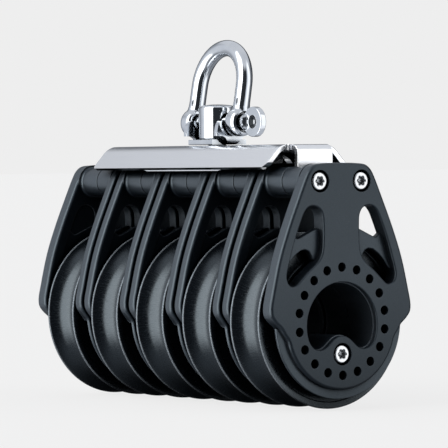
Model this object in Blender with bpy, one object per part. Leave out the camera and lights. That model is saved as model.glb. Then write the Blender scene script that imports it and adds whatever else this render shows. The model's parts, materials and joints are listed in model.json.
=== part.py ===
"""Five-sheave side-by-side rigging block: five shaftless ball-bearing sheaves in
moulded side plates, held by three through bolts, hung from a folded stainless
saddle with a screw-pin D shackle.

Built in metres, +Z up; the sizes below are millimetres. The sheave axis runs along
Y, X is across the block. The origin is the bottom centre of the row; every piece is
parented to a datum empty on the sheave axis, and heights are measured from there.
"""

import math

import bmesh
import bpy
from mathutils import Matrix, Vector

MM = 0.001

# ---- dimensions shared by several pieces -----------------------------------
SHEAVE_R = 28.5
BLOCK_PITCH = 27.0       # centre to centre of neighbouring sheaves
BLOCKS = 5
PAD_OUT = 14.7           # outer face of the two end plates, from their block's mid-plane
HEAD_X, HEAD_Z = 8.35, 45.1     # the two head bolts
HUB_BOLT_Z = -10.6       # the bolt under the centre opening
HEAD_BOLTS = {"head_right": (HEAD_X, HEAD_Z), "head_left": (-HEAD_X, HEAD_Z)}
BOLTS = {**HEAD_BOLTS, "hub": (0, HUB_BOLT_Z)}
BOLT_HOLE_R = 2.35
COUNTERBORE_DEEP = 3.1
HUB_R = 15.3             # inner ball race, on the plates
BALL_RING_R = 17.4       # pitch radius of the balls and of the rinse holes
PIN_Z = 64.8             # shackle pin axis
PIN_HOLE_R = 2.78
STUD_R = 3.0             # threaded lower end of the shackle post
CLEAR = 0.3              # gap left between fitted pieces
SKIN = 0.02              # keeps the skins of two merged bodies from coinciding
CUT_REACH = 20           # takes a cutter well past the piece it cuts

STUD_HOLE_R = STUD_R + CLEAR


# ---- materials -------------------------------------------------------------
NYLON = dict(colour=(0.055, 0.062, 0.075), roughness=0.55, metallic=0.0)
SHEAVE_BLACK = dict(colour=(0.018, 0.02, 0.024), roughness=0.32, metallic=0.0)
BALL_BLACK = dict(colour=(0.015, 0.016, 0.018), roughness=0.35, metallic=0.0)
STEEL = dict(colour=(0.72, 0.73, 0.75), roughness=0.22, metallic=1.0)
POLISHED = dict(colour=(0.80, 0.81, 0.82), roughness=0.10, metallic=1.0)


def material(name, colour, roughness, metallic):
    made = bpy.data.materials.new(name)
    made.use_nodes = True
    shader = made.node_tree.nodes["Principled BSDF"]
    shader.inputs["Base Color"].default_value = (*colour, 1.0)
    shader.inputs["Roughness"].default_value = roughness
    shader.inputs["Metallic"].default_value = metallic
    made.diffuse_color = (*colour, 1.0)
    return made


# ---- outlines: lists of (across, up) points --------------------------------
def circle(x, z, radius, count, start=0.0):
    angles = [start + 2 * math.pi * i / count for i in range(count)]
    return [(x + radius * math.cos(a), z + radius * math.sin(a)) for a in angles]


def arc(x, z, radius, from_deg, to_deg, count):
    """Points along an arc, both ends included."""
    step = (to_deg - from_deg) / (count - 1)
    angles = [math.radians(from_deg + step * i) for i in range(count)]
    return [(x + radius * math.cos(a), z + radius * math.sin(a)) for a in angles]


def rectangle(half_width, low, high):
    return [(-half_width, low), (half_width, low), (half_width, high), (-half_width, high)]


def hexagon(radius, start=0.0):
    return circle(0, 0, radius, 6, start)


def stadium(radius):
    """The outline round both head bolts, at this distance from their axes."""
    right = arc(HEAD_X, HEAD_Z, radius, -90, 90, 5)
    return right + arc(-HEAD_X, HEAD_Z, radius, 90, 270, 5)


def flipped(points):
    """The points mirrored to the other side of x = 0, in reverse order."""
    return [(-x, z) for x, z in reversed(points)]


def mirrored(half):
    """A closed symmetric outline from its +X half."""
    return half + flipped(half)


def both_sides(outline):
    """An outline and its twin across x = 0."""
    return [[(x * side, z) for x, z in outline] for side in (1, -1)]


# ---- bodies ----------------------------------------------------------------
# where an outline point (a, b) lands when it is pushed by t along an axis
PLACE = {
    "X": lambda a, b, t: (t, a, b),
    "Y": lambda a, b, t: (a, t, b),
    "Z": lambda a, b, t: (a, b, t),
}


def new_object(name, bm):
    bmesh.ops.recalc_face_normals(bm, faces=bm.faces)
    mesh = bpy.data.meshes.new(name)
    bm.to_mesh(mesh)
    bm.free()
    obj = bpy.data.objects.new(name, mesh)
    bpy.context.scene.collection.objects.link(obj)
    return obj


def loft(name, rings, closed=False):
    """A skin over rings of 3D points. A closed one joins its last ring to its first,
    an open one is capped, or ends in tips where the end rings are single points."""
    bm = bmesh.new()
    loops = [[bm.verts.new(Vector(point) * MM) for point in ring] for ring in rings]
    pairs = list(zip(loops, loops[1:]))
    if closed:
        pairs.append((loops[-1], loops[0]))
    elif len(loops[0]) > 1:
        bm.faces.new(loops[0])
        bm.faces.new(loops[-1][::-1])
    for one, two in pairs:
        count = max(len(one), len(two))
        for i in range(count):
            j = (i + 1) % count
            corners = [
                one[i % len(one)], one[j % len(one)], two[j % len(two)], two[i % len(two)],
            ]
            # a tip appears twice among the corners, so repeats are dropped
            bm.faces.new(list(dict.fromkeys(corners)))
    return new_object(name, bm)


def prism(name, outline, low, high, axis="Y"):
    """A closed outline pushed from low to high along an axis."""
    return loft(name, [[PLACE[axis](a, b, t) for a, b in outline] for t in (low, high)])


def turned(name, profile, count, axis="Y"):
    """A profile of (radius, along) turned round the axis. A profile that starts and
    ends at radius 0 is solid, any other closes on itself."""
    rings = [
        [PLACE[axis](a, b, along) for a, b in circle(0, 0, radius, count if radius > 0 else 1)]
        for radius, along in profile
    ]
    return loft(name, rings, closed=profile[0][0] > 0)


def fused(*objs):
    """Several bodies gathered in one object for a single boolean."""
    bm = bmesh.new()
    for obj in objs:
        bm.from_mesh(obj.data)
        bpy.data.objects.remove(obj, do_unlink=True)
    return new_object("fused", bm)


def apply_boolean(obj, other, operation):
    modifier = obj.modifiers.new("boolean", "BOOLEAN")
    modifier.operation = operation
    modifier.object = other
    bpy.context.view_layer.update()
    graph = bpy.context.evaluated_depsgraph_get()
    mesh = bpy.data.meshes.new_from_object(obj.evaluated_get(graph))
    obj.modifiers.clear()
    obj.data = mesh
    bpy.data.objects.remove(other, do_unlink=True)


def cut(obj, *others):
    for other in others:
        apply_boolean(obj, other, "DIFFERENCE")
    return obj


def join(obj, *others):
    for other in others:
        apply_boolean(obj, other, "UNION")
    return obj


def finish(obj, name, look, at=(0, 0, 0), turn_deg=(0, 0, 0)):
    """Names the piece, gives it its own material and stands it on the datum."""
    obj.name = name
    obj.data.name = name
    obj.data.materials.clear()
    obj.data.materials.append(material(name, **look))
    obj.data.shade_smooth()
    obj.data.set_sharp_from_angle(angle=math.radians(35))
    obj.parent = datum
    obj.location = Vector(at) * MM
    obj.rotation_euler = [math.radians(a) for a in turn_deg]


def copy_of(obj, name, look, at, turn_deg=(0, 0, 0)):
    twin = bpy.data.objects.new(name, obj.data.copy())
    bpy.context.scene.collection.objects.link(twin)
    finish(twin, name, look, at, turn_deg)


def discard(*objs):
    for obj in objs:
        bpy.data.objects.remove(obj, do_unlink=True)


# ---- side plates -----------------------------------------------------------
PLATE_IN = 8.4           # inner face, from the block's mid-plane
PLATE_OUT = 12.8         # outer face
MID_GAP = 0.15           # half the gap where the two half heads meet
OVERLAP = 0.7            # how far pads and bosses sink into the plate
HUB_ROOT = PLATE_IN + 1  # where hub and head start, inside the plate
LOWER_RIM_R = 25.2       # round lower edge of a plate
PAD_RIM_R = 22.2         # round lower edge of the raised pad
RIM_END_DEG = -86        # where the lower edges stop short of the middle
BOSS_R, BOSS_RISE = 4.2, 0.55
HEAD_R = 4.9             # head, tab pocket: distance of the edge from the bolt axes
POCKET_R, POCKET_DEEP = 3.5, 1.25
NECK_X, NECK_LOW, NECK_HIGH = 7.5, 45.0, 52.0   # pocket's opening through the top
COUNTERBORE_R = 3.55
RINSE_R, RINSE_HOLES = 1.5, 18
WEB_OUT_END, WEB_OUT_INNER = 12.2, 11.6         # outer face of the sunk webs
OPENING_R, OPENING_Z = 14.0, -1.5
LOBE_R = 5.9             # lobe in the opening's floor, round the hub bolt

# (x, z) down the +X edge of the plate and of the raised pad
PLATE_SIDE = [
    (8.6, 50.7), (10.9, 50.1), (12.6, 48.6), (13.9, 46.4), (17.2, 39.2), (21.2, 30.0),
    (24.6, 20.2), (27.0, 9.8), (27.9, 4.6), (27.6, 2.2), (26.4, 0.2), (25.3, -1.6),
]
PAD_SIDE = [
    (8.4, 50.0), (10.5, 49.5), (12.1, 48.1), (13.3, 46.1), (16.6, 38.9), (20.6, 29.8),
    (24.0, 20.0), (26.4, 9.7), (27.2, 4.6), (26.8, 2.4), (25.2, 0.2), (23.4, -3.0),
]
# (x, z) round the +X window, and round the sunk web that crosses it, leaving a
# triangle above and a slanting slot below
WINDOW = [
    (11.1, 36.9), (8.2, 35.2), (7.5, 32.6), (7.5, 23.2), (9.8, 19.2),
    (18.3, 11.3), (20.8, 11.0), (21.9, 13.4), (18.9, 24.8), (14.0, 35.8),
]
WEB = [
    (6.6, 30.1), (19.3, 26.4), (22.1, 16.6), (21.0, 16.2), (13.4, 22.1), (12.0, 22.4),
    (10.6, 21.7), (10.1, 20.4), (10.3, 19.0), (9.6, 18.0), (6.6, 20.6),
]
# (x, z) along the centre opening's floor, from its -X side in to the lobe
OPENING_FLOOR = [(-11.4, -8.8), (-8.7, -9.3), (-6.6, -8.4)]


def centre_opening():
    """A circle whose floor rises in a lobe that carries the hub bolt."""
    upper = arc(0, OPENING_Z, OPENING_R, -24, 204, 11)
    lobe = arc(0, HUB_BOLT_Z, LOBE_R, 142, 38, 4)
    return upper + OPENING_FLOOR + lobe + flipped(OPENING_FLOOR)


def bolt_bore(x, z, end):
    """Cutter for one bolt hole, counterbored from outside in an end plate."""
    if end:
        floor = -PAD_OUT + COUNTERBORE_DEEP
        entry = [(COUNTERBORE_R, -CUT_REACH), (COUNTERBORE_R, floor), (BOLT_HOLE_R, floor)]
    else:
        entry = [(BOLT_HOLE_R, -CUT_REACH)]
    profile = [(0, -CUT_REACH)] + entry + [(BOLT_HOLE_R, 1), (0, 1)]
    bore = turned("bore", profile, 12 if end else 8)
    bore.data.transform(Matrix.Translation(Vector((x, 0, z)) * MM))
    return bore


def rinse_holes():
    """Cutters for the ring of holes over the ball track."""
    holes = []
    for k in range(RINSE_HOLES):
        angle = 2 * math.pi * k / RINSE_HOLES
        x, z = BALL_RING_R * math.sin(angle), BALL_RING_R * math.cos(angle)
        holes.append(prism("hole", circle(x, z, RINSE_R, 5), -CUT_REACH, -PLATE_IN + 0.5))
    return holes


def side_plate(end):
    """A side plate on the -Y side of its block's mid-plane, which is y = 0."""
    plate_outline = mirrored(PLATE_SIDE + arc(0, 0, LOWER_RIM_R, -9, RIM_END_DEG, 7))
    plate = prism("plate", plate_outline, -PLATE_OUT, -PLATE_IN)
    root = -PLATE_OUT + OVERLAP
    if end:
        pad_outline = mirrored(PAD_SIDE + arc(0, 0, PAD_RIM_R, -15, RIM_END_DEG, 7))
        join(plate, prism("pad", pad_outline, -PAD_OUT, root))
    else:
        # low bosses round the head bolts, towards the neighbouring plate
        join(plate, fused(*[
            prism("boss", circle(x, z, BOSS_R, 8), -PLATE_OUT - BOSS_RISE, root)
            for x, z in HEAD_BOLTS.values()
        ]))
    hub_profile = [(0, -HUB_ROOT), (HUB_R, -HUB_ROOT), (HUB_R, -MID_GAP), (0, -MID_GAP)]
    join(
        plate,
        turned("hub", hub_profile, 22),
        prism("head", stadium(HEAD_R), -HUB_ROOT, -MID_GAP),
    )

    cutters = [prism("opening", centre_opening(), -CUT_REACH, 1)]
    cutters += [prism("window", outline, -CUT_REACH, 1) for outline in both_sides(WINDOW)]
    cutters += [bolt_bore(x, z, end) for x, z in BOLTS.values()]
    if end:
        cutters += rinse_holes()
    cut(plate, fused(*cutters))

    web_out = WEB_OUT_END if end else WEB_OUT_INNER
    join(plate, fused(*[
        prism("web", outline, -web_out, -PLATE_IN - 0.5) for outline in both_sides(WEB)
    ]))

    # pocket for a saddle tab between the two half heads
    pocket = prism("pocket", stadium(POCKET_R), -POCKET_DEEP, 1)
    neck = rectangle(NECK_X, NECK_LOW, NECK_HIGH)
    join(pocket, prism("neck", neck, -POCKET_DEEP, 1))
    return cut(plate, pocket)


# ---- sheaves: grooved rim, two ball races, centre web ----------------------
GROOVE_R, GROOVE_BOTTOM = 7.63, 23.3    # the groove's own radius, and its floor's
GROOVE_DEG = 70.7                       # the arc's reach to each side of its floor
SHEAVE_Y = 8.0                          # half width
RIM_CHAMFER_Y, RIM_CHAMFER_R = 0.4, 0.3
RACE_R = 19.55                          # outer ball race
SHEAVE_WEB_Y, SHEAVE_BORE_R = 3.5, 15.85


def sheave():
    # (radius, along) down the +Y side of the section
    side = [
        (SHEAVE_R, SHEAVE_Y - RIM_CHAMFER_Y), (SHEAVE_R - RIM_CHAMFER_R, SHEAVE_Y),
        (RACE_R, SHEAVE_Y), (RACE_R, SHEAVE_WEB_Y), (SHEAVE_BORE_R, SHEAVE_WEB_Y),
    ]
    groove = arc(
        GROOVE_BOTTOM + GROOVE_R, 0, GROOVE_R, 180 + GROOVE_DEG, 180 - GROOVE_DEG, 6,
    )
    other_side = [(radius, -along) for radius, along in reversed(side)]
    return turned("sheave", groove + side + other_side, 28)


# ---- ball rings: balls strung together by thin necks -----------------------
BALLS = 11
BALL_R, BALL_NECK_R = 1.85, 0.75
BALL_Y = 5.6             # each ball row's distance from the mid-plane


def ball_ring():
    rings = []
    for i in range(BALLS * 2):
        angle = math.pi * i / BALLS
        section = circle(BALL_RING_R, 0, BALL_NECK_R if i % 2 else BALL_R, 4)
        rings.append([(out * math.cos(angle), y, out * math.sin(angle)) for out, y in section])
    return loft("balls", rings, closed=True)


def block_row():
    """Every block's two plates, sheave and two ball rings, along Y."""
    end_plate, inner_plate = side_plate(True), side_plate(False)
    wheel, balls = sheave(), ball_ring()
    for n in range(1, BLOCKS + 1):
        mid = (n - 1 - (BLOCKS - 1) / 2) * BLOCK_PITCH
        first = end_plate if n == 1 else inner_plate
        last = end_plate if n == BLOCKS else inner_plate
        copy_of(first, f"side_plate_{n}a", NYLON, (0, mid, 0))
        copy_of(last, f"side_plate_{n}b", NYLON, (0, mid, 0), (0, 0, 180))
        copy_of(wheel, f"sheave_{n}", SHEAVE_BLACK, (0, mid, 0))
        copy_of(balls, f"ball_ring_{n}a", BALL_BLACK, (0, mid - BALL_Y, 0))
        copy_of(balls, f"ball_ring_{n}b", BALL_BLACK, (0, mid + BALL_Y, 0))
    discard(end_plate, inner_plate, wheel, balls)


# ---- through bolts and nuts ------------------------------------------------
ROW_END = (BLOCKS - 1) / 2 * BLOCK_PITCH + PAD_OUT      # outer face of an end plate
SEAT = ROW_END - COUNTERBORE_DEEP                       # floor of its counterbores
BOLT_R, BOLT_HEAD_R = 2.0, 2.95
BOLT_HEAD_SUNK = 0.3                    # head's face, in from the plate's
BOLT_CHAMFER_R, BOLT_CHAMFER_Y = 0.5, 0.45
BOLT_END_SUNK = 0.6                     # shank's end, in from the plate's face
SOCKET_R, SOCKET_FLOOR = 1.45, 1.7      # floor measured in from the plate's face
NUT_R, NUT_T = 3.3, 2.3


def through_bolt():
    """Head at -Y with a hexagon socket, shank to the far nut."""
    face, under_head, tip = -ROW_END + BOLT_HEAD_SUNK, -SEAT - CLEAR, ROW_END - BOLT_END_SUNK
    bolt = turned("bolt", [
        (0, face), (BOLT_HEAD_R - BOLT_CHAMFER_R, face), (BOLT_HEAD_R, face + BOLT_CHAMFER_Y),
        (BOLT_HEAD_R, under_head), (BOLT_R, under_head), (BOLT_R, tip), (0, tip),
    ], 12)
    socket = prism("socket", hexagon(SOCKET_R), -ROW_END - 1, -ROW_END + SOCKET_FLOOR)
    return cut(bolt, socket)


def bolt_nut():
    low = SEAT + CLEAR
    nut = prism("nut", hexagon(NUT_R, math.pi / 6), low, low + NUT_T)
    return cut(nut, prism("bore", circle(0, 0, BOLT_R + CLEAR, 10), SEAT - 1, ROW_END + 1))


def fasteners():
    bolt, nut = through_bolt(), bolt_nut()
    for place, (x, z) in BOLTS.items():
        copy_of(bolt, f"{place}_bolt", STEEL, (x, 0, z))
        copy_of(nut, f"{place}_nut", STEEL, (x, 0, z))
    discard(bolt, nut)


# ---- saddle and doubler: folded stainless channels with end tabs -----------
# top and low_z are heights, top_x and low_x the flange's outer edge there; half is
# the flanges' half length and tab_y the distance of each tab from the middle
SADDLE = dict(
    top=57.1, thick=1.9, top_x=10.5, low_x=17.3, low_z=49.8, half=50.0,
    tab_y=2 * BLOCK_PITCH,
)
DOUBLER = dict(
    top=54.8, thick=1.5, top_x=8.6, low_x=15.5, low_z=48.7, half=23.2, tab_y=BLOCK_PITCH,
)
CORNER = 1.65            # how far the flange bend is cut back each way
TAB_X = 7.05             # half width of the tabs that drop into the heads
TAB_LOW = 46.0
TAB_BEND_R = 2.6         # outside radius of the fold from top to tab
TAB_INSET = 4.0          # how far inside the flange ends the tab strip starts
TAB_EAR_R = 3.15         # tab's lower end: distance of the edge from the bolt axes


def channel_outline(top, thick, top_x, low_x, low_z):
    """Section of a flared inverted channel, outside then inside."""
    run_x, run_z = low_x - top_x, low_z - top
    length = math.hypot(run_x, run_z)
    down_x, down_z = run_x / length, run_z / length     # down the +X flange
    normal_x, normal_z = down_z, -down_x                # into the channel from it
    inner_top_x = top_x + normal_x * thick - down_x / down_z * thick * (1 + normal_z)
    outside = [
        (top_x - CORNER, top),
        (top_x - CORNER * 0.2 + down_x * CORNER * 0.3, top - CORNER * 0.22),
        (top_x + down_x * CORNER, top + down_z * CORNER),
        (low_x, low_z),
    ]
    inside = [
        (low_x + normal_x * thick, low_z + normal_z * thick),
        (inner_top_x + down_x * CORNER * 0.6, top - thick + down_z * CORNER * 0.6),
        (inner_top_x - CORNER * 0.6, top - thick),
    ]
    return mirrored(outside + inside)


def tab_strip(top, thick, half, tab_y):
    """(y, z) section of the +Y tab: a flat inside the channel's top, folded down."""
    outer_skin, inner_skin = top - SKIN, top - thick + SKIN
    start_y = half - TAB_INSET
    bend_y, bend_z = tab_y + thick / 2 - TAB_BEND_R, top - TAB_BEND_R
    return (
        [(start_y, outer_skin), (bend_y, outer_skin)]
        + arc(bend_y, bend_z, TAB_BEND_R, 60, 0, 3)
        + [(tab_y + thick / 2, TAB_LOW), (tab_y - thick / 2, TAB_LOW)]
        + arc(bend_y, bend_z, TAB_BEND_R - thick, 0, 45, 2)
        + [(bend_y, inner_skin), (start_y, inner_skin)]
    )


def folded_channel(name, top, thick, top_x, low_x, low_z, half, tab_y):
    body = prism(name, channel_outline(top, thick, top_x, low_x, low_z), -half, half)
    for sign in (-1, 1):
        mid = tab_y * sign
        strip = [(sign * y, z) for y, z in tab_strip(top, thick, half, tab_y)]
        ear_y = thick / 2 - SKIN
        join(body, prism("tab", strip, -TAB_X, TAB_X, "X"))
        join(body, prism("ear", stadium(TAB_EAR_R), mid - ear_y, mid + ear_y))
        cut(body, fused(*[
            prism("hole", circle(x, z, BOLT_HOLE_R, 8), mid - 3, mid + 3)
            for x, z in HEAD_BOLTS.values()
        ]))
    cut(body, prism("stud_hole", circle(0, 0, STUD_HOLE_R, 16), 40, 70, "Z"))
    finish(body, name, STEEL)


# ---- shackle cradle: folded bracket whose notched ears seat the pin --------
CRADLE_X, CRADLE_IN, CRADLE_OUT = 7.0, 7.7, 9.7     # half width; ears' faces along Y
CRADLE_LOW = SADDLE["top"] + CLEAR
CRADLE_BASE = CRADLE_LOW + 1.7                      # top of the base plate
CRADLE_TOP = 65.6
BASE_INSET = 0.6         # base plate's ends, in from the ears' outer faces
EAR_NARROWING = 0.998    # keeps the ears' edges inside the base plate's
NOTCH_R, NOTCH_TOP = 2.9, 70
# (x, drop below the top) down the +X edge of an ear
EAR_SIDE = [(3.6, 0), (5.6, 0.9), (6.7, 2.6), (CRADLE_X, 4.6)]


def shackle_cradle():
    base_y = CRADLE_OUT - BASE_INSET
    base = rectangle(CRADLE_X, -base_y, base_y)
    cradle = prism("cradle", base, CRADLE_LOW, CRADLE_BASE, "Z")
    ear_half = [(x * EAR_NARROWING, CRADLE_TOP - drop) for x, drop in EAR_SIDE]
    ear_half.append((CRADLE_X * EAR_NARROWING, CRADLE_LOW + SKIN))
    for low, high in ((-CRADLE_OUT, -CRADLE_IN), (CRADLE_IN, CRADLE_OUT)):
        join(cradle, prism("ear", mirrored(ear_half), low, high))
    notch = arc(0, PIN_Z, NOTCH_R, -180, 0, 9) + [(NOTCH_R, NOTCH_TOP), (-NOTCH_R, NOTCH_TOP)]
    cut(
        cradle,
        prism("notch", notch, -CUT_REACH, CUT_REACH),
        prism("stud_hole", circle(0, 0, STUD_HOLE_R, 16), 50, 62, "Z"),
    )
    finish(cradle, "shackle_cradle", POLISHED)


# ---- shackle post and its nut ----------------------------------------------
POST_R, POST_TOP = 6.1, 70.9
POST_NUT_R = 5.2
POST_NUT_TOP = DOUBLER["top"] - DOUBLER["thick"] - CLEAR
POST_NUT_LOW = POST_NUT_TOP - 1.9       # flush with the stud's end
# (radius, drop below the top) down the rounded crown
POST_CROWN = [(0, 0), (3.6, 0.15), (5.5, 0.7), (POST_R, 1.7)]


def pin_bore(z):
    """Cutter for the shackle pin's hole along Y."""
    return prism("pin_hole", circle(0, z, PIN_HOLE_R, 12), -CUT_REACH, CUT_REACH)


def shackle_post():
    foot = CRADLE_BASE + CLEAR
    crown = [(radius, POST_TOP - drop) for radius, drop in POST_CROWN]
    stud = [(POST_R, foot), (STUD_R, foot), (STUD_R, POST_NUT_LOW), (0, POST_NUT_LOW)]
    finish(cut(turned("post", crown + stud, 20, "Z"), pin_bore(PIN_Z)), "shackle_post", POLISHED)


def post_nut():
    nut = prism("nut", hexagon(POST_NUT_R), POST_NUT_LOW, POST_NUT_TOP, "Z")
    cut(nut, prism("bore", circle(0, 0, STUD_HOLE_R, 14), 45, 60, "Z"))
    finish(nut, "post_nut", STEEL)


# ---- shackle bow and pin, both built round the pin axis --------------------
BAR_R = 2.75             # bow bar
LEG_Y = 12.8             # bow leg centre line, from the middle
BOW_RISE = 12.6          # pin axis to the centre of the bow's round top
BOW_LEAN_DEG = 9.5       # lean towards +X
EYE_R = 4.7
EYE_IN, EYE_OUT = 10.0, 16.0
# (y, z) up the +Y leg's centre line, below the round top
BOW_LEG = [((EYE_IN + EYE_OUT) / 2, 0.4), (LEG_Y + 0.05, 5.0)]

PIN_R, PIN_TIP_R = 2.5, 2.0
PIN_TIP, PIN_TIP_BASE = 15.8, 15.2
COLLAR_R = 3.3
COLLAR_IN = -EYE_OUT - CLEAR
COLLAR_EDGE, COLLAR_OUT, COLLAR_OUT_R = -EYE_OUT - 1.3, -EYE_OUT - 2.2, 2.0
GRIP_Y, GRIP_R, GRIP_HOLE_R, GRIP_X = -21.6, 5.1, 2.4, 0.85     # flat disc on the pin


def swept_bar(path, radius, count):
    """A round bar along a path of (y, z) points in the x = 0 plane."""
    side = Vector((1, 0, 0))
    rings = []
    for i, (y, z) in enumerate(path):
        before, after = path[max(i - 1, 0)], path[min(i + 1, len(path) - 1)]
        along = Vector((0, after[0] - before[0], after[1] - before[1])).normalized()
        up = along.cross(side)
        centre = Vector((0, y, z))
        rings.append([centre + a * side + b * up for a, b in circle(0, 0, radius, count)])
    return loft("bar", rings)


def shackle_bow():
    round_top = arc(0, BOW_RISE, LEG_Y, 180, 0, 10)
    path = [(-y, z) for y, z in BOW_LEG] + round_top + BOW_LEG[::-1]
    bow = swept_bar(path, BAR_R, 10)
    for low, high in ((-EYE_OUT, -EYE_IN), (EYE_IN, EYE_OUT)):
        join(bow, prism("eye", circle(0, 0, EYE_R, 18), low, high))
    finish(cut(bow, pin_bore(0)), "shackle_bow", POLISHED, (0, 0, PIN_Z), (0, BOW_LEAN_DEG, 0))


def shackle_pin():
    """Tip at +Y, collar and pierced disc at -Y."""
    pin = turned("pin", [
        (0, PIN_TIP), (PIN_TIP_R, PIN_TIP), (PIN_R, PIN_TIP_BASE), (PIN_R, COLLAR_IN),
        (COLLAR_R, COLLAR_IN), (COLLAR_R, COLLAR_EDGE), (COLLAR_OUT_R, COLLAR_OUT),
        (0, COLLAR_OUT),
    ], 16)
    join(pin, prism("grip", circle(GRIP_Y, 0, GRIP_R, 18), -GRIP_X, GRIP_X, "X"))
    cut(pin, prism("grip_hole", circle(GRIP_Y, 0, GRIP_HOLE_R, 10), -3, 3, "X"))
    finish(pin, "shackle_pin", POLISHED, (0, 0, PIN_Z))


# ---- build -----------------------------------------------------------------
for old in list(bpy.data.objects):
    bpy.data.objects.remove(old, do_unlink=True)

datum = bpy.data.objects.new("sheave_axis_datum", None)
datum.location = (0.0, 0.0, SHEAVE_R * MM)
bpy.context.scene.collection.objects.link(datum)

block_row()
fasteners()
folded_channel("saddle", **SADDLE)
folded_channel("saddle_doubler", **DOUBLER)
shackle_cradle()
shackle_post()
post_nut()
shackle_bow()
shackle_pin()
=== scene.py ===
"""Looks for a five-sheave rigging block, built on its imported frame.

The five sheaves turn on one axis along y, side by side, each between two side plates. A sheet
saddle and a shorter doubler close the top (+z), and a cradle on the saddle holds the shackle.
Lengths here are millimetres, with z counted from the sheave axis; the scene is in metres.
"""

import json
import math

import bmesh
import bpy
from mathutils import Matrix, Vector


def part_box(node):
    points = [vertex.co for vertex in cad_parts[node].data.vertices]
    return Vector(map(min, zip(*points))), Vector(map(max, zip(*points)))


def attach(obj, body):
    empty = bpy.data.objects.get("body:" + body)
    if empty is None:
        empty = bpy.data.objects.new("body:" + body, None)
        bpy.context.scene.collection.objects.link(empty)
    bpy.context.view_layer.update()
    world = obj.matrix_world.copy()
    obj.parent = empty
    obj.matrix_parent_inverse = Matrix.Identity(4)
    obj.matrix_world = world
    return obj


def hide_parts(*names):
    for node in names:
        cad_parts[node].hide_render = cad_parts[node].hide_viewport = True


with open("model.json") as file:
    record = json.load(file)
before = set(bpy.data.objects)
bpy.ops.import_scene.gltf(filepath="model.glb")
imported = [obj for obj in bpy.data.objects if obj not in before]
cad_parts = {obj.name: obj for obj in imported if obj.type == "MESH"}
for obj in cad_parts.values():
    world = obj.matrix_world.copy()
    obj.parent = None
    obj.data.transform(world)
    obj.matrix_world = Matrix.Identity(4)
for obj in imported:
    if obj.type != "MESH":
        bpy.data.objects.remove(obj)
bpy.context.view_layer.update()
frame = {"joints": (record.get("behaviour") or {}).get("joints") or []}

MM = 0.001
BLOCKS = 5

# ---- places taken from the frame ----------------------------------------------
low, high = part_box("sheave_3")
AXIS_Z = (low.z + high.z) / 2 / MM
SHEAVE_R = (high.z - low.z) / 2 / MM
MID_Y = {}
for n in range(1, BLOCKS + 1):
    low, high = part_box(f"sheave_{n}")
    MID_Y[n] = (low.y + high.y) / 2 / MM
BLOCK_PITCH = MID_Y[2] - MID_Y[1]
PIN_AT = next(j for j in frame["joints"] if j["name"] == "bow_swing")["pos_m"]
PIN_Z = PIN_AT[2] / MM - AXIS_Z
SADDLE_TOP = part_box("saddle")[1].z / MM - AXIS_Z
ROW_END = -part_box("side_plate_1a")[0].y / MM

# ---- sizes shared by several pieces ---------------------------------------------
HEAD_X, HEAD_Z = 8.35, 45.1  # the two upper bolts
HUB_BOLT_Z = -10.6
BOLT_R, BOLT_HOLE_R = 2.0, 2.35
COUNTERBORE_DEEP = 3.1
BALL_RING_R = 17.4
STUD_R, STUD_HOLE_R = 3.0, 3.3  # the post's threaded stud
PIN_HOLE_R = 2.78
PIN_TAB_Y = -21.6


# ---- outlines ---------------------------------------------------------------
def arc(x, z, radius, start, end, count):
    """Points on an arc, its angles in degrees."""
    angles = [math.radians(start + (end - start) * i / (count - 1)) for i in range(count)]
    return [(x + radius * math.cos(a), z + radius * math.sin(a)) for a in angles]


def circle(x, z, radius, count, start=0.0):
    angles = [start + 2 * math.pi * i / count for i in range(count)]
    return [(x + radius * math.cos(a), z + radius * math.sin(a)) for a in angles]


def mirrored(half):
    return half + [(-x, z) for x, z in reversed(half)]


def flipped(loop, side):
    return loop if side > 0 else [(-x, z) for x, z in loop]


def spline(points, per_point):
    """A closed centripetal Catmull-Rom curve through the points."""

    def blend(first, last, start, end):
        return (end - at) / (end - start) * first + (at - start) / (end - start) * last

    count, curve = len(points), []
    for i in range(count):
        near = [Vector(points[(i + k - 1) % count]) for k in range(4)]
        knot = [0.0]
        for k in range(3):
            knot.append(knot[-1] + max((near[k + 1] - near[k]).length, 1e-6) ** 0.5)
        for step in range(per_point):
            at = knot[1] + (knot[2] - knot[1]) * step / per_point
            pairs = [blend(near[k], near[k + 1], knot[k], knot[k + 1]) for k in range(3)]
            threes = [blend(pairs[k], pairs[k + 1], knot[k], knot[k + 2]) for k in range(2)]
            spot = blend(threes[0], threes[1], knot[1], knot[2])
            curve.append((spot.x, spot.y))
    return curve


def rounded(points, radius, steps=4, closed=True):
    """The polygon with its corners turned into arcs. radius is one number or one per corner."""
    count, out = len(points), []
    for i, spot in enumerate(points):
        wanted = radius[i] if isinstance(radius, (list, tuple)) else radius
        corner = Vector(spot)
        if wanted <= 0 or (not closed and i in (0, count - 1)):
            out.append((corner.x, corner.y))
            continue
        back, ahead = Vector(points[i - 1]) - corner, Vector(points[(i + 1) % count]) - corner
        back_length, ahead_length = back.length, ahead.length
        back /= back_length
        ahead /= ahead_length
        angle = math.acos(max(-1.0, min(1.0, back.dot(ahead))))
        if angle > math.pi - 0.02:
            out.append((corner.x, corner.y))
            continue
        reach = min(wanted / math.tan(angle / 2), 0.48 * back_length, 0.48 * ahead_length)
        real = reach * math.tan(angle / 2)
        centre = corner + (back + ahead).normalized() * (real / math.sin(angle / 2))
        start = corner + back * reach - centre
        end = corner + ahead * reach - centre
        turn = math.atan2(start.x * end.y - start.y * end.x, start.dot(end))
        for k in range(steps + 1):
            cos, sin = math.cos(turn * k / steps), math.sin(turn * k / steps)
            out.append((
                centre.x + start.x * cos - start.y * sin,
                centre.y + start.x * sin + start.y * cos,
            ))
    return out


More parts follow.
